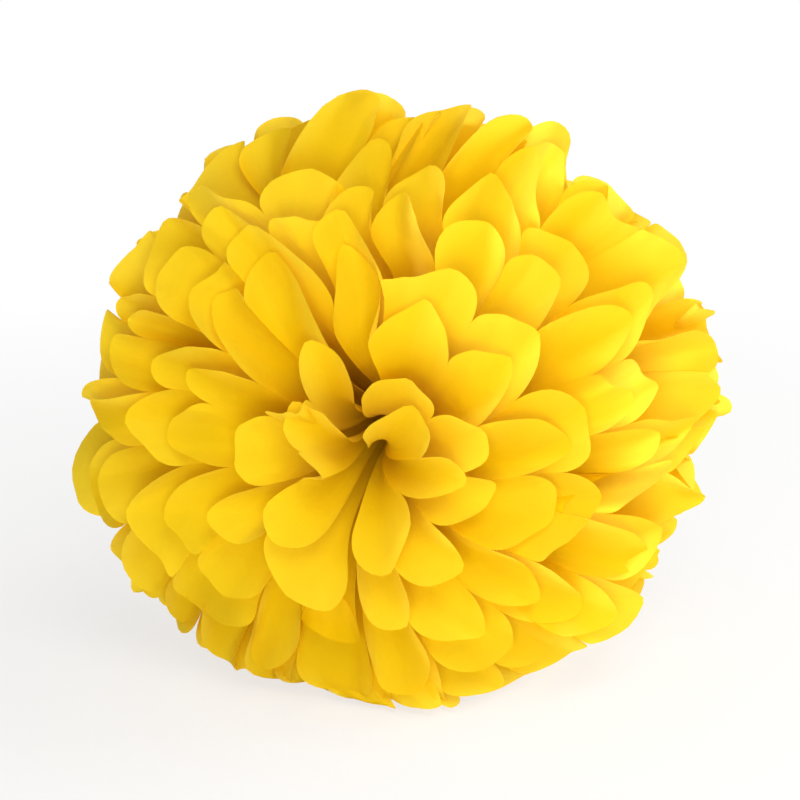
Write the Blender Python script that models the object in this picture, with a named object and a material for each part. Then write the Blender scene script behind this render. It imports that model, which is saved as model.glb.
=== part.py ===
"""Yellow tissue paper pom pom: a stack of pleated tissue sheets, wired at the waist and
fluffed into a ball of round-tipped petals.

The flower's face looks along -Y. The wire loop lies in the YZ plane, and each sheet leaves
it as a right half and a left half that meet again in a narrow seam above and below.
"""

import math

import bpy
import numpy as np

# Overall sizes, in metres
BALL_RADIUS = 0.142
PETAL_WIDTH = 0.0425
PETAL_TIP_HEIGHT = 0.0145
PAPER_THICKNESS = 0.0005
REST_HEIGHT = 0.120

# Waist, where every sheet passes through the wire
WAIST_RADIUS = 0.0072
WAIST_PITCH = 0.00085
SEAM_HALF_GAP = 0.0016

# Binding wire
WIRE_RADIUS = 0.00045
WIRE_CLEARANCE = 0.00055
WIRE_TAIL_LENGTH = 0.014
WIRE_TWIST_TURNS = 2.0

# Fluffing: where each sheet's tips stand, in degrees from the middle of the face
SHEETS = 14
FIRST_TIP_ANGLE = 15.0
LAST_TIP_ANGLE = 165.0
BACK_SPREAD = 0.12
TIP_CURL = 14.0
TIP_LIP = 6.5
FOLD_SWING = 5.0
PAIR_CLOSING = 0.25
SEAM_WANDER = 14.0
SEAM_LAP = 3.0
LEAN = 4.5
FULLNESS = 1.54
POLE_SLACK = 0.60
FACE_HOLLOW = 0.25
WARP_SHARE = 0.033

# Rows in degrees from the middle of the face, and where they hang straight below it
ROWS_APART = (0, 14, 24, 35, 46, 57, 68, 79, 91, 180)
ROWS_HANGING = (0, 13, 24, 50, 57, 64, 72, 80, 92, 180)

TISSUE_YELLOW = (1.0, 0.60, 0.005, 1.0)
WIRE_GREY = (0.55, 0.56, 0.57, 1.0)

# Stations along a petal, as shares of the length from the waist to the notch between tips
STATIONS = (0.0, 0.45, 1.0)
TIP_STATIONS = (0.16, 0.5, 0.84)


def material(name, color, roughness, metallic):
    made = bpy.data.materials.new(name)
    made.use_nodes = True
    shader = made.node_tree.nodes["Principled BSDF"]
    shader.inputs["Base Color"].default_value = color
    shader.inputs["Roughness"].default_value = roughness
    shader.inputs["Metallic"].default_value = metallic
    made.diffuse_color = color
    return made


def add_mesh(name, points, faces, surface):
    mesh = bpy.data.meshes.new(name)
    mesh.from_pydata([tuple(point) for point in points], [], faces)
    mesh.materials.append(surface)
    mesh.polygons.foreach_set("use_smooth", [True] * len(mesh.polygons))
    mesh.update()
    made = bpy.data.objects.new(name, mesh)
    bpy.context.scene.collection.objects.link(made)
    return made


def tip_angle(sheet):
    """Angle of a sheet's tips from the middle of the face: close together in front, wider at the back."""
    share = sheet / (SHEETS - 1)
    share += BACK_SPREAD * share * (share - 1)
    return math.radians(FIRST_TIP_ANGLE + (LAST_TIP_ANGLE - FIRST_TIP_ANGLE) * share)


def curl_angle(sheet):
    """How far a sheet's tips bend away from the nearer pole of the ball."""
    return math.radians(TIP_CURL) * math.cos(tip_angle(sheet))


def petal_length(sheet):
    """Distance from the waist to a petal's notch. The petals round the hollow face stand lower."""
    nearness = max(0.0, math.cos(tip_angle(sheet))) ** 3
    straight = BALL_RADIUS - PETAL_TIP_HEIGHT - WAIST_RADIUS
    return straight * (1 - FACE_HOLLOW * nearness)


def waist_radius(sheet):
    return WAIST_RADIUS * (0.45 + 0.55 * math.sin(tip_angle(sheet)))


def petals_per_half(angle):
    around = math.pi * BALL_RADIUS * math.sin(angle)
    fullness = FULLNESS - POLE_SLACK * math.cos(angle) ** 2
    return max(2, round(fullness * around / PETAL_WIDTH))


def arc_bow(chord_share, across):
    """Place along the chord and height off it, for paper of unit width bowed to a shorter chord."""
    low = np.zeros_like(chord_share)
    high = np.full_like(chord_share, 2.0)
    for _ in range(30):
        middle = (low + high) / 2
        too_long = np.sinc(middle / np.pi) > chord_share
        low = np.where(too_long, middle, low)
        high = np.where(too_long, high, middle)
    half = (low + high) / 2 + 1e-6
    turn = half * (2 * across - 1)
    along = 0.5 + 0.5 * np.sin(turn) / np.sin(half)
    height = (np.cos(turn) - np.cos(half)) / (2 * half)
    return along, height


def under_face(azimuth):
    """1 straight below the middle of the face, fading to 0 at its sides."""
    return np.exp(-(((azimuth + np.pi / 2) / 0.9) ** 2))


def row_shift(sheet, azimuth):
    """How far a row hangs lower under the face, where all but the first two fall away from it."""
    hanging = np.interp(tip_angle(sheet), np.radians(ROWS_APART), np.radians(ROWS_HANGING))
    return (hanging - tip_angle(sheet)) * under_face(azimuth)


def nested_with(sheet):
    """The sheet nested with this one. The two nearest the face each stand alone."""
    return sheet if sheet < 2 else sheet ^ 1


class Pleats:
    """Folds that a pair of sheets share on one side: their places, swing, bows and lengths."""

    def __init__(self, sheet, side, wander, random):
        self.side = side
        self.wander = wander
        middle = (tip_angle(sheet) + tip_angle(nested_with(sheet))) / 2
        front = math.copysign(1.0, math.cos(middle))
        self.count = petals_per_half(middle)
        widths = 1 + 0.30 * (2 * random.random(self.count) - 1)
        self.shares = np.concatenate([[0.0], np.cumsum(widths) / widths.sum()])
        turns = np.where(np.arange(self.count + 1) % 2 == 0, side, -side)
        swings = 0.40 + 0.60 * random.random(self.count + 1)
        swings[[0, -1]] = 0.5
        calm = 0.45 if sheet < 2 else 1.0
        swings = swings * (0.80 + 0.13 * middle) * calm
        self.swing = math.radians(FOLD_SWING) * turns * swings
        cupped = front * (0.5 + 0.5 * abs(math.cos(middle)))
        self.bows = cupped * np.where(random.random(self.count) < 0.85, 1.0, -0.7)
        self.lengths = 1 + 0.10 * (random.random(self.count) - 0.5)
        lips = (0.4 + 0.6 * random.random(self.count)) * calm**2 * abs(cupped)
        self.lips = front * math.radians(TIP_LIP) * lips
        self.closing, self.leaning = 2 * math.pi * random.random(2)
        level = np.diff(self.shares) * math.pi * math.sin(middle)
        chords = np.hypot(level, np.diff(self.swing)) * BALL_RADIUS
        self.chords = np.clip(chords / PETAL_WIDTH, 0.66, 0.97)

    def points(self, sheet, petal, across, length_share, tip_share):
        """Points of one sheet for petal number, place across it, and shares of length and tip height."""
        petal = np.minimum(petal, self.count - 1)
        base = tip_angle(sheet) - curl_angle(sheet)
        notch = petal_length(sheet)
        radius = length_share * notch * (1 + (self.lengths[petal] - 1) * np.sin(np.pi * across))
        radius = radius + tip_share * PETAL_TIP_HEIGHT
        reach = radius / BALL_RADIUS
        flare = radius / (notch + PETAL_TIP_HEIGHT)
        along, height = arc_bow(self.chords[petal], across)
        fade = np.clip(reach / 0.25, 0, 1)
        swing = self.swing[petal] * (1 - along) + self.swing[petal + 1] * along
        bow = self.bows[petal] * height * PETAL_WIDTH / BALL_RADIUS
        share = self.shares[petal] * (1 - along) + self.shares[petal + 1] * along
        below = under_face((share - 0.5) * np.pi)
        lip = self.lips[petal] * np.sin(np.pi * across) * flare**8 * (1 - 0.4 * below)
        near = (0.5 + 0.5 * np.sin(7.0 * share + self.closing)) * (1 - below)
        step = (tip_angle(nested_with(sheet)) - tip_angle(sheet)) / 2
        room = (1 + 0.6 * near * (step != 0)) * (1 - 0.4 * below)
        polar = base + curl_angle(sheet) * flare**3 + (swing * room + bow) * fade + lip
        polar = polar + PAIR_CLOSING * near * step * reach
        hub = waist_radius(sheet)
        gap = np.arcsin(np.clip(SEAM_HALF_GAP / (hub + radius * np.sin(base)), 0, 0.9))
        low, high = self.wander
        lap = math.radians(SEAM_LAP)
        start = gap - np.pi / 2 + (low - lap) * reach**3
        end = np.pi / 2 - gap + (high + lap) * reach**3
        lean = math.radians(LEAN) * np.sin(4 * np.pi * share + self.leaning) * np.sin(np.pi * share)
        azimuth = start + (end - start) * share + lean * reach**3
        polar = polar + row_shift(sheet, azimuth) * np.clip(reach, 0, 1) ** 2
        x = (hub + radius * np.sin(polar)) * np.cos(azimuth) * self.side
        y = (sheet - (SHEETS - 1) / 2) * WAIST_PITCH - radius * np.cos(polar)
        z = (hub + radius * np.sin(polar)) * np.sin(azimuth)
        return np.stack([x, y, z], axis=-1)


def fluff(points):
    """Uneven pulling of the ball: a gentle waviness that grows outwards and never crosses layers."""
    place = points / BALL_RADIUS
    reach = np.linalg.norm(place, axis=-1, keepdims=True)
    grow = np.clip((reach - 0.2) / 0.6, 0, 1) ** 2
    x, y, z = place[..., 0], place[..., 1], place[..., 2]
    total = 0.0
    for pitch, share in ((1.0, 0.75), (1.9, 0.50), (3.3, 0.25)):
        wave = [
            np.sin(5.1 * pitch * y + 1.0) + np.sin(6.3 * pitch * z + 0.4 * pitch),
            np.sin(5.7 * pitch * z + 2.1) + np.sin(5.3 * pitch * x + 3.9 * pitch),
            np.sin(4.9 * pitch * x + 4.4) + np.sin(6.1 * pitch * y + 0.9 * pitch),
        ]
        total = total + share * np.stack(wave, axis=-1)
    return points + BALL_RADIUS * WARP_SHARE * grow * total


def settle(points):
    """Presses the lowest petals flat against the ground, smoothly and without crossing."""
    z = points[..., 2]
    start = -0.85 * REST_HEIGHT
    depth = REST_HEIGHT + start
    below = np.maximum(start - z, 0)
    pressed = start - depth * (1 - np.exp(-below / depth))
    return np.concatenate([points[..., :2], np.where(z < start, pressed, z)[..., None]], axis=-1)


def sheet_surface(sheet, halves):
    """Mid-surface of one sheet: both halves and the disc at the waist that joins them."""
    points = []
    triangles = []
    ring = []
    for pleats in halves:
        side = pleats.side
        columns = np.arange(2 * pleats.count + 1)
        petal = np.minimum(columns // 2, pleats.count - 1)
        across = columns / 2 - petal
        start = sum(len(block) for block in points)
        rows = [
            pleats.points(sheet, petal, across, np.full(len(columns), share), 0.0) for share in STATIONS
        ]
        points.append(np.concatenate(rows))
        width = len(columns)
        for row in range(len(STATIONS) - 1):
            for column in range(width - 1):
                a = start + row * width + column
                b = a + width
                if column % 2:
                    triangles += [(a, a + 1, b + 1), (a, b + 1, b)]
                else:
                    triangles += [(a, a + 1, b), (a + 1, b + 1, b)]
        top = start + (len(STATIONS) - 1) * width
        tips = start + len(rows) * width
        number = np.repeat(np.arange(pleats.count), len(TIP_STATIONS))
        places = np.tile(TIP_STATIONS, pleats.count)
        rise = np.sqrt(1 - (2 * places - 1) ** 2)
        points.append(pleats.points(sheet, number, places, np.ones(len(number)), rise))
        for number in range(pleats.count):
            left = top + 2 * number
            one = tips + 3 * number
            triangles += [(left, left + 1, one), (one, left + 1, one + 1)]
            triangles += [(one + 1, left + 1, one + 2), (left + 1, left + 2, one + 2)]
        triangles = [t if side > 0 or min(t) < start else t[::-1] for t in triangles]
        edge = list(range(start, start + width))
        ring += edge if side > 0 else edge[::-1]
    points = fluff(np.concatenate(points))
    middle = len(points)
    points = np.concatenate([points, points[ring].mean(axis=0)[None]])
    for a, b in zip(ring, ring[1:] + ring[:1]):
        triangles.append((middle, b, a))
    return settle(points), np.array(triangles)


def thicken(points, triangles, thickness):
    """Closed solid round a surface: two skins along the normals, joined round the free edges."""
    corners = points[triangles]
    across = np.cross(corners[:, 1] - corners[:, 0], corners[:, 2] - corners[:, 0])
    normals = np.zeros_like(points)
    for corner in range(3):
        np.add.at(normals, triangles[:, corner], across)
    normals /= np.linalg.norm(normals, axis=1, keepdims=True)
    skins = np.concatenate([points + normals * thickness / 2, points - normals * thickness / 2])
    count = len(points)
    edges = np.concatenate([triangles[:, [0, 1]], triangles[:, [1, 2]], triangles[:, [2, 0]]])
    keys = {(a, b) for a, b in edges.tolist()}
    faces = triangles.tolist() + (triangles[:, ::-1] + count).tolist()
    for a, b in edges.tolist():
        if (b, a) not in keys:
            faces += [(b, a, a + count), (b, a + count, b + count)]
    return skins, faces


def wire_path():
    """Middle line of the wire: up one strand's twist, round the waist, and back along the other."""
    half_height = WAIST_RADIUS + WIRE_CLEARANCE + WIRE_RADIUS
    half_depth = (SHEETS - 1) / 2 * WAIST_PITCH + WIRE_CLEARANCE + WIRE_RADIUS
    corner = 0.6 * half_depth
    twist_radius = WIRE_RADIUS + 0.00018
    start = half_height + 0.0030
    turn = np.linspace(1, 0, 17)
    angle = 2 * math.pi * WIRE_TWIST_TURNS * turn + math.pi / 2
    height = start + WIRE_TAIL_LENGTH * turn
    strand = np.stack([twist_radius * np.cos(angle), twist_radius * np.sin(angle), height], axis=1)
    loop = []
    for middle, centre_y, centre_z in (
        (45, half_depth - corner, half_height - corner),
        (-45, half_depth - corner, corner - half_height),
        (-135, corner - half_depth, corner - half_height),
        (135, corner - half_depth, half_height - corner),
    ):
        for step in np.linspace(45, -45, 5):
            bend = math.radians(middle + step)
            loop.append((0.0, centre_y + corner * math.cos(bend), centre_z + corner * math.sin(bend)))
    other = strand[::-1] * (-1, -1, 1)
    return np.concatenate([strand, np.array(loop), other])


def sweep(path, radius, sides):
    """Closed round tube along a path, with a flat cap at each end."""
    tangents = np.gradient(path, axis=0)
    tangents /= np.linalg.norm(tangents, axis=1, keepdims=True)
    normal = np.cross(tangents[0], (0.0, 1.0, 0.3))
    rings = []
    for centre, tangent in zip(path, tangents):
        normal = normal - tangent * normal.dot(tangent)
        normal /= np.linalg.norm(normal)
        other = np.cross(tangent, normal)
        turns = np.arange(sides) * 2 * math.pi / sides
        rings.append(centre + radius * (np.outer(np.cos(turns), normal) + np.outer(np.sin(turns), other)))
    faces = [tuple(range(sides))[::-1]]
    for ring in range(len(path) - 1):
        for side in range(sides):
            a = ring * sides + side
            b = ring * sides + (side + 1) % sides
            faces.append((a, b, b + sides, a + sides))
    last = (len(path) - 1) * sides
    faces.append(tuple(range(last, last + sides)))
    return np.concatenate(rings), faces


def main():
    for leftover in list(bpy.data.objects):
        bpy.data.objects.remove(leftover)
    tissue = material("tissue", TISSUE_YELLOW, 0.85, 0.0)
    wire = material("binding_wire", WIRE_GREY, 0.35, 1.0)
    random = np.random.default_rng(11)
    solids = []
    for sheet in range(SHEETS):
        if sheet < 2 or nested_with(sheet) > sheet:
            wander = math.radians(SEAM_WANDER) * (2 * random.random(2) - 1)
            halves = [Pleats(sheet, side, wander * side, random) for side in (1, -1)]
        points, triangles = sheet_surface(sheet, halves)
        skins, faces = thicken(points, triangles, PAPER_THICKNESS)
        solids.append((f"sheet_{sheet + 1:02d}", skins, faces, tissue))
    points, faces = sweep(wire_path(), WIRE_RADIUS, 5)
    solids.append(("wire_tie", points, faces, wire))
    everything = np.concatenate([points for _, points, _, _ in solids])
    low = everything.min(axis=0)
    base = (low + everything.max(axis=0)) / 2
    base[2] = low[2]
    for name, points, faces, surface in solids:
        add_mesh(name, points - base, faces, surface)


main()
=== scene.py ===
"""Yellow tissue paper pom pom: fine pleated sheets, binding wire and stage, laid out as an add-on."""

import math

import bpy
import numpy as np
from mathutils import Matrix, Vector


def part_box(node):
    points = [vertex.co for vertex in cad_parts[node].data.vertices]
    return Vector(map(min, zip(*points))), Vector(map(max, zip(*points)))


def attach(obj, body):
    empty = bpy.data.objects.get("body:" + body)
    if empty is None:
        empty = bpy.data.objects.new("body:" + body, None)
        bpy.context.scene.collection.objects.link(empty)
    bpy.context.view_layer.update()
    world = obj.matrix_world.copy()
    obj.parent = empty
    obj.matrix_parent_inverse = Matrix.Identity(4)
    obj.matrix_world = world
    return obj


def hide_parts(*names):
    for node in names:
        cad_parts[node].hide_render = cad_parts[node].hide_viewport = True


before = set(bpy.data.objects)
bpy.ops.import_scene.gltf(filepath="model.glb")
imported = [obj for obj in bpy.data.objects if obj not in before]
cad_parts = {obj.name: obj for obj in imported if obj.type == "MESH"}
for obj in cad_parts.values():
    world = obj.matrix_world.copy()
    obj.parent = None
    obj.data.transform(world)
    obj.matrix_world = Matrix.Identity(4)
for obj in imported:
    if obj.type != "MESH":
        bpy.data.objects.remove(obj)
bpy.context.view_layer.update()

# Start of the random draws that place the folds
SEED = 11

# Rows in degrees from the middle of the face, and where they hang straight below it
ROWS_APART = (0, 14, 24, 35, 46, 57, 68, 79, 91, 180)
ROWS_HANGING = (0, 13, 24, 50, 57, 64, 72, 80, 92, 180)

# Number of sheets nearest the face that stand alone, and how much of the usual swing they have
LONE_SHEETS = 2
LONE_CALM = 0.45

# Least and greatest widths, lengths, swings and lips of petals, as shares of the usual ones
WIDTHS = (0.70, 1.30)
LENGTHS = (0.95, 1.05)
SWINGS = (0.40, 1.0)
LIPS = (0.40, 1.0)

# Swing of the two folds at the seams
SEAM_SWING = 0.5

# Share of petals that are cupped, and the bow of the others, which are bowed the other way
CUPPED_SHARE = 0.85
TURNED_BOW = -0.7

# Least and greatest distance between two folds, as a share of the paper between them
CHORD_RANGE = (0.66, 0.97)

# Part of a petal's width that an ear takes, and the ears' least and greatest heights
EAR_WIDTH = 0.35
EAR_HEIGHTS = (0.5, 0.9)

# Part of the reach over which the folds open out from the waist
OPEN_OUT = 0.25

# Angle over which the hanging rows fade away to the sides of the face
HANGING_SPREAD = 0.9

# How much less the lips and the swings are under the face
UNDER_CALM = 0.4

# Tips that are folded back over their petals: sheet, side and petal
FOLDED_TIPS = ((2, -1, 0), (4, 1, 5))

# Pitch and share of each set of waves of the fluffed ball, and the reach where they start and are full
WAVES = ((1.0, 0.75), (1.9, 0.50), (3.3, 0.25))
WAVES_START, WAVES_FULL = 0.2, 0.8

# Part of the rest height below which petals are pressed by the ground
PRESSED_FROM = 0.85

# Scale and detail of the patterns on the tissue and the wire
FIBRES = (900.0, 3.0)
CRINKLES = (95.0, 4.0)
CLOUDS = (14.0, 2.0)
GATHERS = (7.0, 3.0)
SCRATCHES = (1500.0, 2.0)

# Height of the tissue's relief, and how much of it shows
RELIEF_DEPTH = 0.002
RELIEF_STRENGTH = 0.22

# Share of light that comes through the tissue, halfway along a petal and at its tip
THROUGH_SHARES = (0.30, 0.50)

# Roughness from the smoothest to the roughest places, and how much the tissue shines
TISSUE_ROUGHNESS = (0.62, 0.80)
WIRE_ROUGHNESS = (0.25, 0.45)
FLOOR_ROUGHNESS = 0.9
TISSUE_SHEEN = 0.08

WHITE = (1.0, 1.0, 1.0, 1.0)
WARM_WHITE = (1.0, 0.98, 0.95)

# Distances on the floor over which the shadow fades, and how white it is at the pom pom
SHADOW_REACH = (0.20, 0.75)
SHADOW_WHITENESS = 0.70

bl_info = {
    "name": "Tissue Pom Pom",
    "version": (1, 0, 0),
    "blender": (4, 5, 0),
    "location": "3D View > Sidebar > Pom Pom",
    "description": "Builds a ball of pleated tissue sheets wired at the waist, with its stage",
    "category": "Add Mesh",
}

# Sockets of the Mix node that hold its factor, its two colours and the mixed colour
MIX_FACTOR, MIX_FIRST, MIX_SECOND, MIX_COLOR = 0, 6, 7, 2


class Shade:
    """A shader value that sums and products work on. Each of them adds one Math node."""

    def __init__(self, tree, socket):
        self.tree = tree
        self.socket = socket

    @staticmethod
    def node(tree, kind, values=None, output=0, **settings):
        """Any node: its settings, then its input values or links, and the output that is used."""
        made = tree.nodes.new(kind)
        for name, value in settings.items():
            setattr(made, name, value)
        for name, value in (values or {}).items():
            if isinstance(value, Shade):
                tree.links.new(value.socket, made.inputs[name])
            else:
                made.inputs[name].default_value = value
        return Shade(tree, made.outputs[output])

    def _math(self, operation, first, second):
        return Shade.node(self.tree, "ShaderNodeMath", {0: first, 1: second}, operation=operation)

    def __add__(self, other):
        return self._math("ADD", self, other)

    def __radd__(self, other):
        return self._math("ADD", other, self)

    def __mul__(self, other):
        return self._math("MULTIPLY", self, other)

    def __rmul__(self, other):
        return self._math("MULTIPLY", other, self)

    def clamped(self, low, high, start=0.0, end=1.0):
        """This value taken from low to high onto start to end, and held there outside."""
        values = {"Value": self, "From Min": low, "From Max": high, "To Min": start, "To Max": end}
        return Shade.node(self.tree, "ShaderNodeMapRange", values, clamp=True)

    def blend(self, first, second):
        """Colour between first and second by this factor."""
        values = {MIX_FACTOR: self, MIX_FIRST: first, MIX_SECOND: second}
        return Shade.node(self.tree, "ShaderNodeMix", values, output=MIX_COLOR, data_type="RGBA")


def shown(tree, node_name, output):
    """An output of a node that the tree starts with."""
    return Shade(tree, tree.nodes[node_name].outputs[output])


def mix_shaders(tree, share, first, second, end_name):
    """Mixes two shaders by a share and shows the result at the tree's output."""
    mixed = Shade.node(tree, "ShaderNodeMixShader", {0: share, 1: first, 2: second})
    tree.links.new(mixed.socket, tree.nodes[end_name].inputs["Surface"])


class PomSizes(bpy.types.PropertyGroup):
    """Sizes of the pom pom, the same as those of its solids."""

    ball_radius: bpy.props.FloatProperty(
        name="Ball radius", description="Reach of the petals from the waist", default=0.142, unit="LENGTH"
    )
    petal_width: bpy.props.FloatProperty(
        name="Pleat width", description="Paper between two folds", default=0.0425, unit="LENGTH"
    )
    tip_height: bpy.props.FloatProperty(
        name="Tip height", description="Height of a petal's rounded tip", default=0.0145, unit="LENGTH"
    )
    rest_height: bpy.props.FloatProperty(
        name="Rest height", description="Height of the waist above the ground", default=0.120, unit="LENGTH"
    )
    waist_radius: bpy.props.FloatProperty(
        name="Waist radius", description="Half the height of the bound waist", default=0.0072, unit="LENGTH"
    )
    waist_pitch: bpy.props.FloatProperty(
        name="Waist pitch", description="Step between sheets at the waist", default=0.00085, unit="LENGTH"
    )
    seam_half_gap: bpy.props.FloatProperty(
        name="Seam half gap", description="Half the slit between two halves", default=0.0016, unit="LENGTH"
    )
    wire_radius: bpy.props.FloatProperty(
        name="Wire radius", description="Half the binding wire's thickness", default=0.00045, unit="LENGTH"
    )
    wire_clearance: bpy.props.FloatProperty(
        name="Wire clearance", description="Space between waist and wire", default=0.00055, unit="LENGTH"
    )
    sheets: bpy.props.IntProperty(name="Sheets", description="Number of tissue sheets", default=14)
    first_tip_angle: bpy.props.FloatProperty(
        name="First tips", description="Angle of the first tips off the face's middle",
        default=math.radians(15), subtype="ANGLE",
    )
    last_tip_angle: bpy.props.FloatProperty(
        name="Last tips", description="Angle of the last tips off the face's middle",
        default=math.radians(165), subtype="ANGLE",
    )
    back_spread: bpy.props.FloatProperty(
        name="Back spread", description="How much wider the rows stand at the back", default=0.12
    )
    tip_curl: bpy.props.FloatProperty(
        name="Tip curl", description="Outward bend of the tips", default=math.radians(14), subtype="ANGLE"
    )
    fold_swing: bpy.props.FloatProperty(
        name="Fold swing", description="How far folds stand off their row",
        default=math.radians(5.0), subtype="ANGLE",
    )
    tip_lip: bpy.props.FloatProperty(
        name="Tip lip", description="Extra outward curl of a petal's very end",
        default=math.radians(6.5), subtype="ANGLE",
    )
    tip_cup: bpy.props.FloatProperty(
        name="Tip cup", description="How much deeper a petal is cupped at its tip", default=1.1
    )
    tip_twist: bpy.props.FloatProperty(
        name="Tip twist", description="How far one corner of a tip turns forward and the other back",
        default=math.radians(4.0), subtype="ANGLE",
    )
    flap_spring: bpy.props.FloatProperty(
        name="Flap spring", description="How far a folded-back tip stands off its petal", default=0.30
    )
    tip_lift: bpy.props.FloatProperty(
        name="Tip lift", description="How far single tips stand off their row",
        default=math.radians(3.0), subtype="ANGLE",
    )
    tip_ripple: bpy.props.FloatProperty(
        name="Tip creases", description="Depth of the small creases that run to a tip's edge",
        default=math.radians(0.7), subtype="ANGLE",
    )
    ear_share: bpy.props.FloatProperty(
        name="Ears", description="Share of folds that keep a pointed ear", default=0.12
    )
    pair_closing: bpy.props.FloatProperty(
        name="Pair closing", description="How far the sheets of a pair close up in places", default=0.25
    )
    seam_wander: bpy.props.FloatProperty(
        name="Seam wander", description="How far a seam strays at the tips",
        default=math.radians(14), subtype="ANGLE",
    )
    seam_lap: bpy.props.FloatProperty(
        name="Seam lap", description="How far each half laps over the other at the tips",
        default=math.radians(3), subtype="ANGLE",
    )
    lean: bpy.props.FloatProperty(
        name="Lean", description="How far groups of petals lean sideways",
        default=math.radians(4.5), subtype="ANGLE",
    )
    fullness: bpy.props.FloatProperty(
        name="Fullness", description="Paper width against the ground it covers", default=1.54
    )
    pole_slack: bpy.props.FloatProperty(
        name="Pole slack", description="How much less full the sheets are near the poles", default=0.60
    )
    face_hollow: bpy.props.FloatProperty(
        name="Face hollow", description="How much shorter the middle petals stand", default=0.25
    )
    warp_share: bpy.props.FloatProperty(
        name="Unevenness", description="Large waves of the fluffed ball", default=0.033
    )
    across: bpy.props.IntProperty(name="Faces across", description="Faces across one petal", default=20)
    along: bpy.props.IntProperty(name="Faces along", description="Faces along one petal", default=34)


class PomLook(bpy.types.PropertyGroup):
    """Colours of the pom pom and its floor."""

    tissue: bpy.props.FloatVectorProperty(
        name="Tissue", description="Colour of light that the tissue sends back",
        subtype="COLOR", size=4, min=0, max=1, default=(0.92, 0.68, 0.001, 1.0),
    )
    # Painted shade: a darker colour towards each petal's base, where the packed folds would shade it
    painted_base_shade: bpy.props.FloatVectorProperty(
        name="Deep tissue", description="Colour near the waist, where the folds are packed",
        subtype="COLOR", size=4, min=0, max=1, default=(0.76, 0.51, 0.001, 1.0),
    )
    # Painted light: a paler colour at the tips that stands in for light shining through the single sheet
    rim: bpy.props.FloatVectorProperty(
        name="Rim", description="Paler colour of the single sheet at the tips",
        subtype="COLOR", size=4, min=0, max=1, default=(0.94, 0.71, 0.012, 1.0),
    )
    glow: bpy.props.FloatVectorProperty(
        name="Glow", description="Colour of light that comes through the tissue",
        subtype="COLOR", size=4, min=0, max=1, default=(0.92, 0.69, 0.07, 1.0),
    )
    wire: bpy.props.FloatVectorProperty(
        name="Wire", description="Colour of the binding wire",
        subtype="COLOR", size=4, min=0, max=1, default=(0.55, 0.56, 0.57, 1.0),
    )
    floor: bpy.props.FloatVectorProperty(
        name="Floor", description="Colour of the floor",
        subtype="COLOR", size=4, min=0, max=1, default=(0.92, 0.92, 0.92, 1.0),
    )


class PomStage(bpy.types.PropertyGroup):
    """Light and camera of the stage."""

    room_light: bpy.props.FloatProperty(
        name="Room light", description="Even light from all round", default=0.33
    )
    side_power: bpy.props.FloatProperty(
        name="Side lamp", description="Power of the lamp on the right", default=15.0, subtype="POWER"
    )
    top_power: bpy.props.FloatProperty(
        name="Top lamp", description="Power of the lamp above", default=6.5, subtype="POWER"
    )
    front_power: bpy.props.FloatProperty(
        name="Front lamp", description="Power of the low lamp in front", default=9.5, subtype="POWER"
    )
    lamp_target: bpy.props.FloatProperty(
        name="Lamp target", description="Height that the lamps are turned to", default=0.134, unit="LENGTH"
    )
    floor_reach: bpy.props.FloatProperty(
        name="Floor reach", description="Half the width of the floor", default=6.0, unit="LENGTH"
    )
    view_azimuth: bpy.props.FloatProperty(
        name="View azimuth", description="Camera's angle to the right of the front view",
        default=math.radians(11), subtype="ANGLE",
    )
    view_elevation: bpy.props.FloatProperty(
        name="View elevation", description="Camera's angle above the ground",
        default=math.radians(15.5), subtype="ANGLE",
    )
    view_distance: bpy.props.FloatProperty(
        name="View distance", description="From the camera to its target", default=1.2, unit="LENGTH"
    )
    view_target: bpy.props.FloatProperty(
        name="View target", description="Height that the camera is turned to", default=0.123, unit="LENGTH"
    )
    lens: bpy.props.FloatProperty(
        name="Lens", description="Focal length in millimetres", default=115.6, unit="CAMERA"
    )


def sizes():
    """Sizes that the user set."""
    return bpy.context.scene.pom_sizes


def look():
    """Colours that the user set."""
    return bpy.context.scene.pom_look


def stage():
    """Light and camera that the user set."""
    return bpy.context.scene.pom_stage


def waist_centre():
    """Middle of the waist in the frame, from the binding wire's place."""
    s = sizes()
    low, high = (np.array(corner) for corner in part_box("wire_tie"))
    centre = (low + high) / 2
    centre[2] = low[2] + s.waist_radius + s.wire_clearance + 2 * s.wire_radius
    return centre


def tip_angle(sheet):
    """Angle of a sheet's tips from the middle of the face: close in front, wider at the back."""
    s = sizes()
    share = sheet / (s.sheets - 1)
    share += s.back_spread * share * (share - 1)
    return s.first_tip_angle + (s.last_tip_angle - s.first_tip_angle) * share


def curl_angle(sheet):
    """How far a sheet's tips bend away from the nearer pole of the ball."""
    return sizes().tip_curl * math.cos(tip_angle(sheet))


def petal_length(sheet):
    """Distance from the waist to a petal's notch. The petals round the hollow face are shorter."""
    s = sizes()
    nearness = max(0.0, math.cos(tip_angle(sheet))) ** 3
    return (s.ball_radius - s.tip_height - s.waist_radius) * (1 - s.face_hollow * nearness)


def hub_radius(sheet):
    """Radius of the waist's rim that a sheet leaves from, smaller for the sheets near the poles."""
    return sizes().waist_radius * (0.45 + 0.55 * math.sin(tip_angle(sheet)))


def petals_per_half(angle):
    """Petals on one side of a row: the arc that it covers times its fullness, over a pleat's width."""
    s = sizes()
    around = math.pi * s.ball_radius * math.sin(angle)
    fullness = s.fullness - s.pole_slack * math.cos(angle) ** 2
    return max(2, round(fullness * around / s.petal_width))


def arc_bow(chord_share, across):
    """Place along the chord and height off it, for paper of unit width bowed to a shorter chord."""
    low = np.zeros_like(chord_share)
    high = np.full_like(chord_share, 2.0)
    for _ in range(30):
        middle = (low + high) / 2
        too_long = np.sinc(middle / np.pi) > chord_share
        low = np.where(too_long, middle, low)
        high = np.where(too_long, high, middle)
    half = (low + high) / 2 + 1e-6
    turn = half * (2 * across - 1)
    along = 0.5 + 0.5 * np.sin(turn) / np.sin(half)
    height = (np.cos(turn) - np.cos(half)) / (2 * half)
    return along, height


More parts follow.
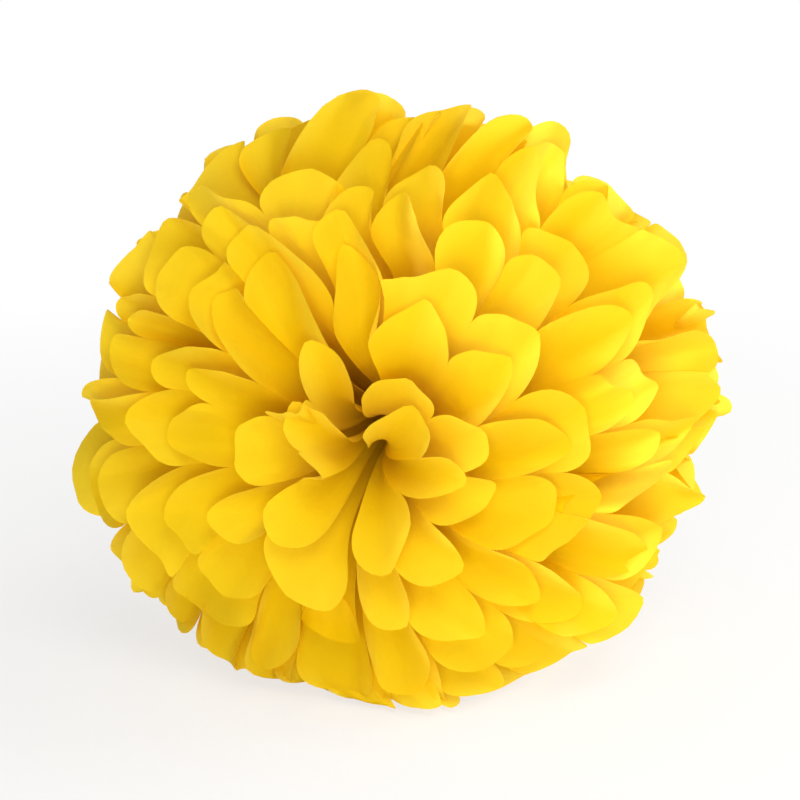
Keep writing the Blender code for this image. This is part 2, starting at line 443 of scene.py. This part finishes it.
def under_face(azimuth):
    """1 straight below the middle of the face, falling to 0 at its sides along a bell curve."""
    return np.exp(-(((azimuth + np.pi / 2) / HANGING_SPREAD) ** 2))


def row_shift(sheet, azimuth):
    """How far a row hangs lower under the face, where all but the first two fall away from it."""
    hanging = np.interp(tip_angle(sheet), np.radians(ROWS_APART), np.radians(ROWS_HANGING))
    return (hanging - tip_angle(sheet)) * under_face(azimuth)


def tip_rise(across, left_ear, right_ear):
    """Outline of a petal's end: half round, with a pointed ear where a fold missed the scissors."""
    arch = np.sqrt(np.clip(1 - (2 * across - 1) ** 2, 0, 1))
    left = np.clip(1 - across / EAR_WIDTH, 0, 1) ** 2
    right = np.clip(1 - (1 - across) / EAR_WIDTH, 0, 1) ** 2
    return arch + left_ear * left + right_ear * right


def nested_with(sheet):
    """The sheet nested with this one. A sheet that stands alone gives itself."""
    return sheet if sheet < LONE_SHEETS else sheet ^ 1


def drawn(random, count, low, high):
    """Random numbers between low and high."""
    return low + (high - low) * random.random(count)


class Pleats:
    """Folds that a pair of sheets share on one side: their places, swing, bows, curls and ears."""

    def __init__(self, sheet, side, wander, random):
        s = sizes()
        self.side = side
        self.wander = wander
        middle = (tip_angle(sheet) + tip_angle(nested_with(sheet))) / 2
        self.front = math.copysign(1.0, math.cos(middle))
        self.count = petals_per_half(middle)
        widths = drawn(random, self.count, *WIDTHS)
        self.shares = np.concatenate([[0.0], np.cumsum(widths) / widths.sum()])
        turns = np.where(np.arange(self.count + 1) % 2 == 0, side, -side)
        swings = drawn(random, self.count + 1, *SWINGS)
        swings[[0, -1]] = SEAM_SWING
        calm = LONE_CALM if sheet < LONE_SHEETS else 1.0
        swings = swings * (0.80 + 0.13 * middle) * calm
        self.swing = s.fold_swing * turns * swings
        cupped = self.front * (0.5 + 0.5 * abs(math.cos(middle)))
        self.bows = cupped * np.where(random.random(self.count) < CUPPED_SHARE, 1.0, TURNED_BOW)
        self.lengths = drawn(random, self.count, *LENGTHS)
        lips = drawn(random, self.count, *LIPS) * calm**2 * abs(cupped)
        self.lips = self.front * s.tip_lip * lips
        self.closing, self.leaning = drawn(random, 2, 0, 2 * math.pi)
        level = np.diff(self.shares) * math.pi * math.sin(middle)
        chords = np.hypot(level, np.diff(self.swing)) * s.ball_radius
        self.chords = np.clip(chords / s.petal_width, *CHORD_RANGE)
        shapes = np.random.default_rng(sheet)
        eared = shapes.random(self.count + 1) < s.ear_share
        self.ears = np.where(eared, drawn(shapes, self.count + 1, *EAR_HEIGHTS), 0.0)
        self.twists = s.tip_twist * calm * drawn(shapes, (2, self.count), -1, 1)
        self.lifts = s.tip_lift * calm * drawn(shapes, (2, self.count), -1, 1)
        self.phases = drawn(shapes, (2, self.count), 0, 1)
        self.folded = np.zeros((2, self.count), bool)
        for folded_sheet, folded_side, petal in FOLDED_TIPS:
            if folded_side == side and folded_sheet in (sheet, nested_with(sheet)):
                self.folded[folded_sheet % 2][petal] = True

    def points(self, sheet, petal, across, length_share, tip_share):
        """Points of one sheet for petal number, place across it, and shares of length and tip height.

        A point is the waist's rim plus a length along a direction. The angle off the face's middle
        is the sheet's own angle, its curl, the folds' swing, the petal's bow and the small turns of
        its tip. The angle round the face is the place between two folds. A tip share below zero is
        a tip that is folded back over its petal.
        """
        s = sizes()
        base = tip_angle(sheet) - curl_angle(sheet)
        notch = petal_length(sheet)
        radius = length_share * notch * (1 + (self.lengths[petal] - 1) * np.sin(np.pi * across))
        radius = radius + tip_share * s.tip_height
        flap = np.maximum(-tip_share, 0) * s.tip_height
        reach = radius / s.ball_radius
        flare = radius / (notch + s.tip_height)
        along, height = arc_bow(self.chords[petal], across)
        fade = np.clip(reach / OPEN_OUT, 0, 1)
        swing = self.swing[petal] * (1 - along) + self.swing[petal + 1] * along
        bow = self.bows[petal] * height * (1 + s.tip_cup * flare**4) * s.petal_width / s.ball_radius
        share = self.shares[petal] * (1 - along) + self.shares[petal + 1] * along
        below = under_face((share - 0.5) * np.pi)
        calm = 1 - UNDER_CALM * below
        lip = self.lips[petal] * np.sin(np.pi * across) * flare**8 * calm
        lip = lip + self.twists[sheet % 2][petal] * np.sin(2 * np.pi * across) * flare**6
        lip = lip + self.lifts[sheet % 2][petal] * np.sin(np.pi * across) * flare**5
        ripple = 1 - 2 * abs(np.sin(np.pi * (2.5 * across + self.phases[sheet % 2][petal])))
        lip = lip + s.tip_ripple * ripple * np.sin(np.pi * across) * flare**5
        near = (0.5 + 0.5 * np.sin(7.0 * share + self.closing)) * (1 - below)
        step = (tip_angle(nested_with(sheet)) - tip_angle(sheet)) / 2
        room = (1 + 0.6 * near * (step != 0)) * calm
        polar = base + curl_angle(sheet) * flare**3 + (swing * room + bow) * fade + lip
        polar = polar + s.pair_closing * near * step * reach
        polar = polar - self.front * s.flap_spring * flap / s.ball_radius
        hub = hub_radius(sheet)
        gap = np.arcsin(np.clip(s.seam_half_gap / (hub + radius * np.sin(base)), 0, 0.9))
        low, high = self.wander
        start = gap - np.pi / 2 + (low - s.seam_lap) * reach**3
        end = np.pi / 2 - gap + (high + s.seam_lap) * reach**3
        lean = s.lean * np.sin(4 * np.pi * share + self.leaning) * np.sin(np.pi * share)
        azimuth = start + (end - start) * share + lean * reach**3
        polar = polar + row_shift(sheet, azimuth) * np.clip(reach, 0, 1) ** 2
        x = (hub + radius * np.sin(polar)) * np.cos(azimuth) * self.side
        y = (sheet - (s.sheets - 1) / 2) * s.waist_pitch - radius * np.cos(polar)
        z = (hub + radius * np.sin(polar)) * np.sin(azimuth)
        return np.stack([x, y, z], axis=-1)


def fluff(points):
    """Uneven pulling of the ball: a gentle waviness that grows outwards and never crosses layers.

    Each point moves along each axis by two sines of its place on the other axes. Their pitches
    aren't multiples of one another, so that the waves don't repeat.
    """
    s = sizes()
    place = points / s.ball_radius
    reach = np.linalg.norm(place, axis=-1, keepdims=True)
    grow = np.clip((reach - WAVES_START) / (WAVES_FULL - WAVES_START), 0, 1) ** 2
    x, y, z = place[..., 0], place[..., 1], place[..., 2]
    total = 0.0
    for pitch, share in WAVES:
        wave = [
            np.sin(5.1 * pitch * y + 1.0) + np.sin(6.3 * pitch * z + 0.4 * pitch),
            np.sin(5.7 * pitch * z + 2.1) + np.sin(5.3 * pitch * x + 3.9 * pitch),
            np.sin(4.9 * pitch * x + 4.4) + np.sin(6.1 * pitch * y + 0.9 * pitch),
        ]
        total = total + share * np.stack(wave, axis=-1)
    return points + s.ball_radius * s.warp_share * grow * total


def settle(points):
    """Presses the lowest petals against the ground: their height nears it as an exponential."""
    rest = sizes().rest_height
    z = points[..., 2]
    start = -PRESSED_FROM * rest
    depth = rest + start
    below = np.maximum(start - z, 0)
    pressed = start - depth * (1 - np.exp(-below / depth))
    return np.concatenate([points[..., :2], np.where(z < start, pressed, z)[..., None]], axis=-1)


def sheet_mesh(name, sheet, halves):
    """One tissue sheet as a grid over the petals of both halves and a small disc at the waist.

    Columns go from fold to fold, closer together near each fold, and rows from the waist to the
    round tips. On a folded-back tip the last fifth of the rows runs back over the petal.
    """
    s = sizes()
    points, faces, coords, creases, ring = [], [], [], [], []
    start = 0
    fold_row = s.along * 4 // 5
    for pleats in halves:
        side = pleats.side
        width = pleats.count * s.across + 1
        column = np.arange(width)
        petal = np.minimum(column // s.across, pleats.count - 1)
        across = (1 - np.cos(np.pi * (column - petal * s.across) / s.across)) / 2
        rows = np.linspace(0, 1, s.along + 1) ** 0.9
        shape = (len(rows), width)
        petals = np.broadcast_to(petal, shape)
        places = np.broadcast_to(across, shape)
        lengths = np.broadcast_to(rows[:, None], shape)
        outline = tip_rise(places, pleats.ears[petals], pleats.ears[petals + 1])
        fold = rows[fold_row]
        turned = pleats.folded[sheet % 2][petals]
        reached = np.where(turned, np.minimum(lengths / fold, 1), lengths)
        back = np.clip((lengths - fold) / (1 - fold), 0, 1)
        rise = np.where(turned, -back, lengths**7) * outline
        points.append(pleats.points(sheet, petals, places, reached, rise).reshape(-1, 3))
        coords.append(np.stack([petals + places, lengths], axis=-1).reshape(-1, 2))
        index = start + np.arange(len(rows) * width).reshape(shape)
        quads = np.stack([index[:-1, :-1], index[:-1, 1:], index[1:, 1:], index[1:, :-1]], axis=-1)
        quads = quads.reshape(-1, 4)
        faces.append(quads if side > 0 else quads[:, ::-1])
        creases.append(index[:, s.across:-1:s.across].ravel())
        creases.append(index[fold_row][turned[fold_row]])
        edge = index[0].tolist()
        ring += edge if side > 0 else edge[::-1]
        start += len(rows) * width
    points = np.concatenate(points)
    coords = np.concatenate(coords + [np.zeros((1, 2))])
    points = np.concatenate([points, points[ring].mean(axis=0)[None]])
    points = settle(fluff(points)) + waist_centre()
    quads = np.concatenate(faces)
    fan = [(start, b, a) for a, b in zip(ring, ring[1:] + ring[:1])]
    mesh = bpy.data.meshes.new(name)
    mesh.from_pydata(points.tolist(), [], quads.tolist() + fan)
    layer = mesh.uv_layers.new(name="petals")
    corner = np.empty(len(mesh.loops), np.int32)
    mesh.loops.foreach_get("vertex_index", corner)
    layer.data.foreach_set("uv", coords[corner].astype(np.float32).ravel())
    mesh.polygons.foreach_set("use_smooth", np.ones(len(mesh.polygons), bool))
    folded = np.zeros(len(points), bool)
    folded[np.concatenate(creases)] = True
    ends = np.empty(2 * len(mesh.edges), np.int32)
    mesh.edges.foreach_get("vertices", ends)
    mesh.edges.foreach_set("use_edge_sharp", folded[ends.reshape(-1, 2)].all(axis=1))
    mesh.update()
    return mesh


def noise(tree, place, scale, detail):
    """Soft random pattern, finer for a larger scale."""
    values = {"Vector": place, "Scale": scale, "Detail": detail}
    return Shade.node(tree, "ShaderNodeTexNoise", values, output="Fac")


def tissue_material():
    """Thin matt tissue with fibres, a crinkle and gather lines that run along each petal.

    Painted shade darkens it towards each petal's base near the waist, and a painted glow makes it paler at
    the rim; the tips also let more light through.
    """
    colors = look()
    made = bpy.data.materials.new("tissue_paper")
    made.use_nodes = True
    tree = made.node_tree
    shader = tree.nodes["Principled BSDF"]
    place = Shade.node(tree, "ShaderNodeTexCoord", output="Object")
    petals = Shade.node(tree, "ShaderNodeUVMap", output="UV", uv_map="petals")
    side_to_side = Shade.node(tree, "ShaderNodeSeparateXYZ", {"Vector": petals}, output="X")
    length = Shade.node(tree, "ShaderNodeSeparateXYZ", {"Vector": petals}, output="Y")
    fibre = noise(tree, place, *FIBRES)
    crinkle = noise(tree, place, *CRINKLES)
    cloud = noise(tree, place, *CLOUDS)
    stretched = {"X": side_to_side, "Y": 0.22 * length, "Z": 3.0 * cloud}
    lengthwise = Shade.node(tree, "ShaderNodeCombineXYZ", stretched, output="Vector")
    gather = noise(tree, lengthwise, *GATHERS)
    painted_base_shade, plain, rim = tuple(colors.painted_base_shade), tuple(colors.tissue), tuple(colors.rim)
    between = tuple((a + b) / 2 for a, b in zip(painted_base_shade, plain))
    cloudy = (0.7 * cloud + 0.3 * fibre).clamped(0.3, 0.7).blend(between, plain)
    # Painted shade: darker towards each petal's base, by its length share
    shaded = length.clamped(0.55, 0.93).blend(painted_base_shade, cloudy)
    # Painted light: paler at the tips, as if lit through the thin paper
    color = (length + 0.10 * cloud).clamped(0.90, 1.06).blend(shaded, rim)
    tree.links.new(color.socket, shader.inputs["Base Color"])
    rough = fibre.clamped(0.3, 0.7, *TISSUE_ROUGHNESS)
    tree.links.new(rough.socket, shader.inputs["Roughness"])
    shader.inputs["Specular IOR Level"].default_value = TISSUE_SHEEN
    height = 0.2 * fibre + 0.8 * crinkle + 1.6 * gather
    relief = {"Strength": RELIEF_STRENGTH, "Distance": RELIEF_DEPTH, "Height": height}
    bump = Shade.node(tree, "ShaderNodeBump", relief, output="Normal")
    tree.links.new(bump.socket, shader.inputs["Normal"])
    through = Shade.node(tree, "ShaderNodeBsdfTranslucent", {"Color": tuple(colors.glow)})
    share = length.clamped(0.5, 1.0, *THROUGH_SHARES)
    mix_shaders(tree, share, shown(tree, "Principled BSDF", "BSDF"), through, "Material Output")
    return made


def place_piece(mesh, material, node):
    """Puts a mesh with its material into the scene, in place of a node of the plain model."""
    mesh.materials.append(material)
    piece = bpy.data.objects.new(mesh.name, mesh)
    bpy.context.scene.collection.objects.link(piece)
    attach(piece, "root")
    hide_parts(node)
    return piece


class POM_OT_sheets(bpy.types.Operator):
    """Build the pleated tissue sheets"""

    bl_idname = "pom.sheets"
    bl_label = "Tissue sheets"

    def execute(self, context):
        tissue = tissue_material()
        random = np.random.default_rng(SEED)
        s = sizes()
        for sheet in range(s.sheets):
            if sheet < LONE_SHEETS or nested_with(sheet) > sheet:
                wander = s.seam_wander * drawn(random, 2, -1, 1)
                halves = [Pleats(sheet, side, wander * side, random) for side in (1, -1)]
            name = f"petals_{sheet + 1:02d}"
            place_piece(sheet_mesh(name, sheet, halves), tissue, f"sheet_{sheet + 1:02d}")
        return {"FINISHED"}


class POM_OT_wire(bpy.types.Operator):
    """Give the binding wire its drawn metal finish"""

    bl_idname = "pom.wire"
    bl_label = "Binding wire"

    def execute(self, context):
        made = bpy.data.materials.new("drawn_wire")
        made.use_nodes = True
        tree = made.node_tree
        shader = tree.nodes["Principled BSDF"]
        shader.inputs["Metallic"].default_value = 1.0
        place = Shade.node(tree, "ShaderNodeTexCoord", output="Object")
        scratch = noise(tree, place, *SCRATCHES)
        bright = tuple(look().wire)
        dull = tuple(0.8 * part for part in bright[:3]) + (1.0,)
        color = scratch.clamped(0.35, 0.65).blend(dull, bright)
        tree.links.new(color.socket, shader.inputs["Base Color"])
        rough = scratch.clamped(0.3, 0.7, *WIRE_ROUGHNESS)
        tree.links.new(rough.socket, shader.inputs["Roughness"])
        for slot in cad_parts["wire_tie"].material_slots:
            slot.material = made
        return {"FINISHED"}


def aim(thing, azimuth, elevation, distance, height):
    """Stands a thing off a point above the origin, at angles right of the front view and above it."""
    level = math.cos(elevation)
    away = np.array([math.sin(azimuth) * level, -math.cos(azimuth) * level, math.sin(elevation)])
    thing.location = (0.0, 0.0, height) + distance * away
    thing.rotation_euler = (math.pi / 2 - elevation, 0.0, azimuth)


def area_light(name, power, azimuth, elevation, distance, size, color=WHITE[:3]):
    """Soft square light on a sphere round the pom pom, turned towards it. Angles are in degrees."""
    data = bpy.data.lights.new(name, "AREA")
    data.shape = "SQUARE"
    data.size = size
    data.energy = power
    data.color = color
    lamp = bpy.data.objects.new(name, data)
    aim(lamp, math.radians(azimuth), math.radians(elevation), distance, stage().lamp_target)
    bpy.context.scene.collection.objects.link(lamp)


def background_ray(tree):
    """1 for rays that show the background: from the camera, off metal or through clear matter."""
    seen = Shade.node(tree, "ShaderNodeLightPath", output="Is Camera Ray")
    for kind in ("Is Glossy Ray", "Is Transmission Ray"):
        seen = seen + Shade.node(tree, "ShaderNodeLightPath", output=kind)
    return seen.clamped(0.0, 1.0)


def floor_material():
    """Pale matt floor that the camera sees as white far off, and with a soft shadow near by."""
    made = bpy.data.materials.new("pale_floor")
    made.use_nodes = True
    tree = made.node_tree
    shader = tree.nodes["Principled BSDF"]
    shader.inputs["Base Color"].default_value = tuple(look().floor)
    shader.inputs["Roughness"].default_value = FLOOR_ROUGHNESS
    white = Shade.node(tree, "ShaderNodeEmission", {"Color": WHITE})
    spot = Shade.node(tree, "ShaderNodeTexCoord", output="Object")
    away = Shade.node(tree, "ShaderNodeVectorMath", {0: spot}, output="Value", operation="LENGTH")
    share = away.clamped(*SHADOW_REACH, SHADOW_WHITENESS, 1.0) * background_ray(tree)
    mix_shaders(tree, share, shown(tree, "Principled BSDF", "BSDF"), white, "Material Output")
    return made


def studio_world():
    """Even white light, and a plain white background."""
    world = bpy.data.worlds.new("studio")
    world.use_nodes = True
    tree = world.node_tree
    light = tree.nodes["Background"]
    light.inputs["Color"].default_value = WHITE
    light.inputs["Strength"].default_value = stage().room_light
    white = Shade.node(tree, "ShaderNodeBackground", {"Color": WHITE})
    even = shown(tree, "Background", "Background")
    mix_shaders(tree, background_ray(tree), even, white, "World Output")
    return world


class POM_OT_stage(bpy.types.Operator):
    """Build the floor, the soft studio light and the camera"""

    bl_idname = "pom.stage"
    bl_label = "Stage"

    def execute(self, context):
        scene = context.scene
        scene.view_settings.view_transform = "Standard"
        s = stage()
        near, far = -s.floor_reach, s.floor_reach
        corners = [(near, near, 0), (far, near, 0), (far, far, 0), (near, far, 0)]
        ground = bpy.data.meshes.new("floor")
        ground.from_pydata(corners, [], [(0, 1, 2, 3)])
        ground.materials.append(floor_material())
        floor = bpy.data.objects.new("floor", ground)
        scene.collection.objects.link(floor)
        scene.world = studio_world()
        area_light("side", s.side_power, azimuth=112, elevation=2, distance=1.0, size=0.7, color=WARM_WHITE)
        area_light("overhead", s.top_power, azimuth=25, elevation=40, distance=1.2, size=0.6)
        area_light("low front", s.front_power, azimuth=8, elevation=3, distance=1.3, size=0.5)
        data = bpy.data.cameras.new("camera")
        data.lens = s.lens
        camera = bpy.data.objects.new("camera", data)
        aim(camera, s.view_azimuth, s.view_elevation, s.view_distance, s.view_target)
        scene.collection.objects.link(camera)
        scene.camera = camera
        return {"FINISHED"}


class POM_PT_panel(bpy.types.Panel):
    """Sizes, colours and building steps of the pom pom"""

    bl_idname = "POM_PT_panel"
    bl_label = "Tissue Pom Pom"
    bl_space_type = "VIEW_3D"
    bl_region_type = "UI"
    bl_category = "Pom Pom"

    def draw(self, context):
        for group in (sizes(), look(), stage()):
            for name in group.__annotations__:
                self.layout.prop(group, name)
        for step in STEPS:
            self.layout.operator(step.bl_idname)


STEPS = (POM_OT_sheets, POM_OT_wire, POM_OT_stage)
CLASSES = (PomSizes, PomLook, PomStage, *STEPS, POM_PT_panel)


def register():
    for one in CLASSES:
        bpy.utils.register_class(one)
    bpy.types.Scene.pom_sizes = bpy.props.PointerProperty(type=PomSizes)
    bpy.types.Scene.pom_look = bpy.props.PointerProperty(type=PomLook)
    bpy.types.Scene.pom_stage = bpy.props.PointerProperty(type=PomStage)


def unregister():
    del bpy.types.Scene.pom_stage
    del bpy.types.Scene.pom_look
    del bpy.types.Scene.pom_sizes
    for one in reversed(CLASSES):
        bpy.utils.unregister_class(one)


def main():
    register()
    bpy.ops.pom.sheets()
    bpy.ops.pom.wire()
    bpy.ops.pom.stage()


if __name__ == "__main__":
    main()
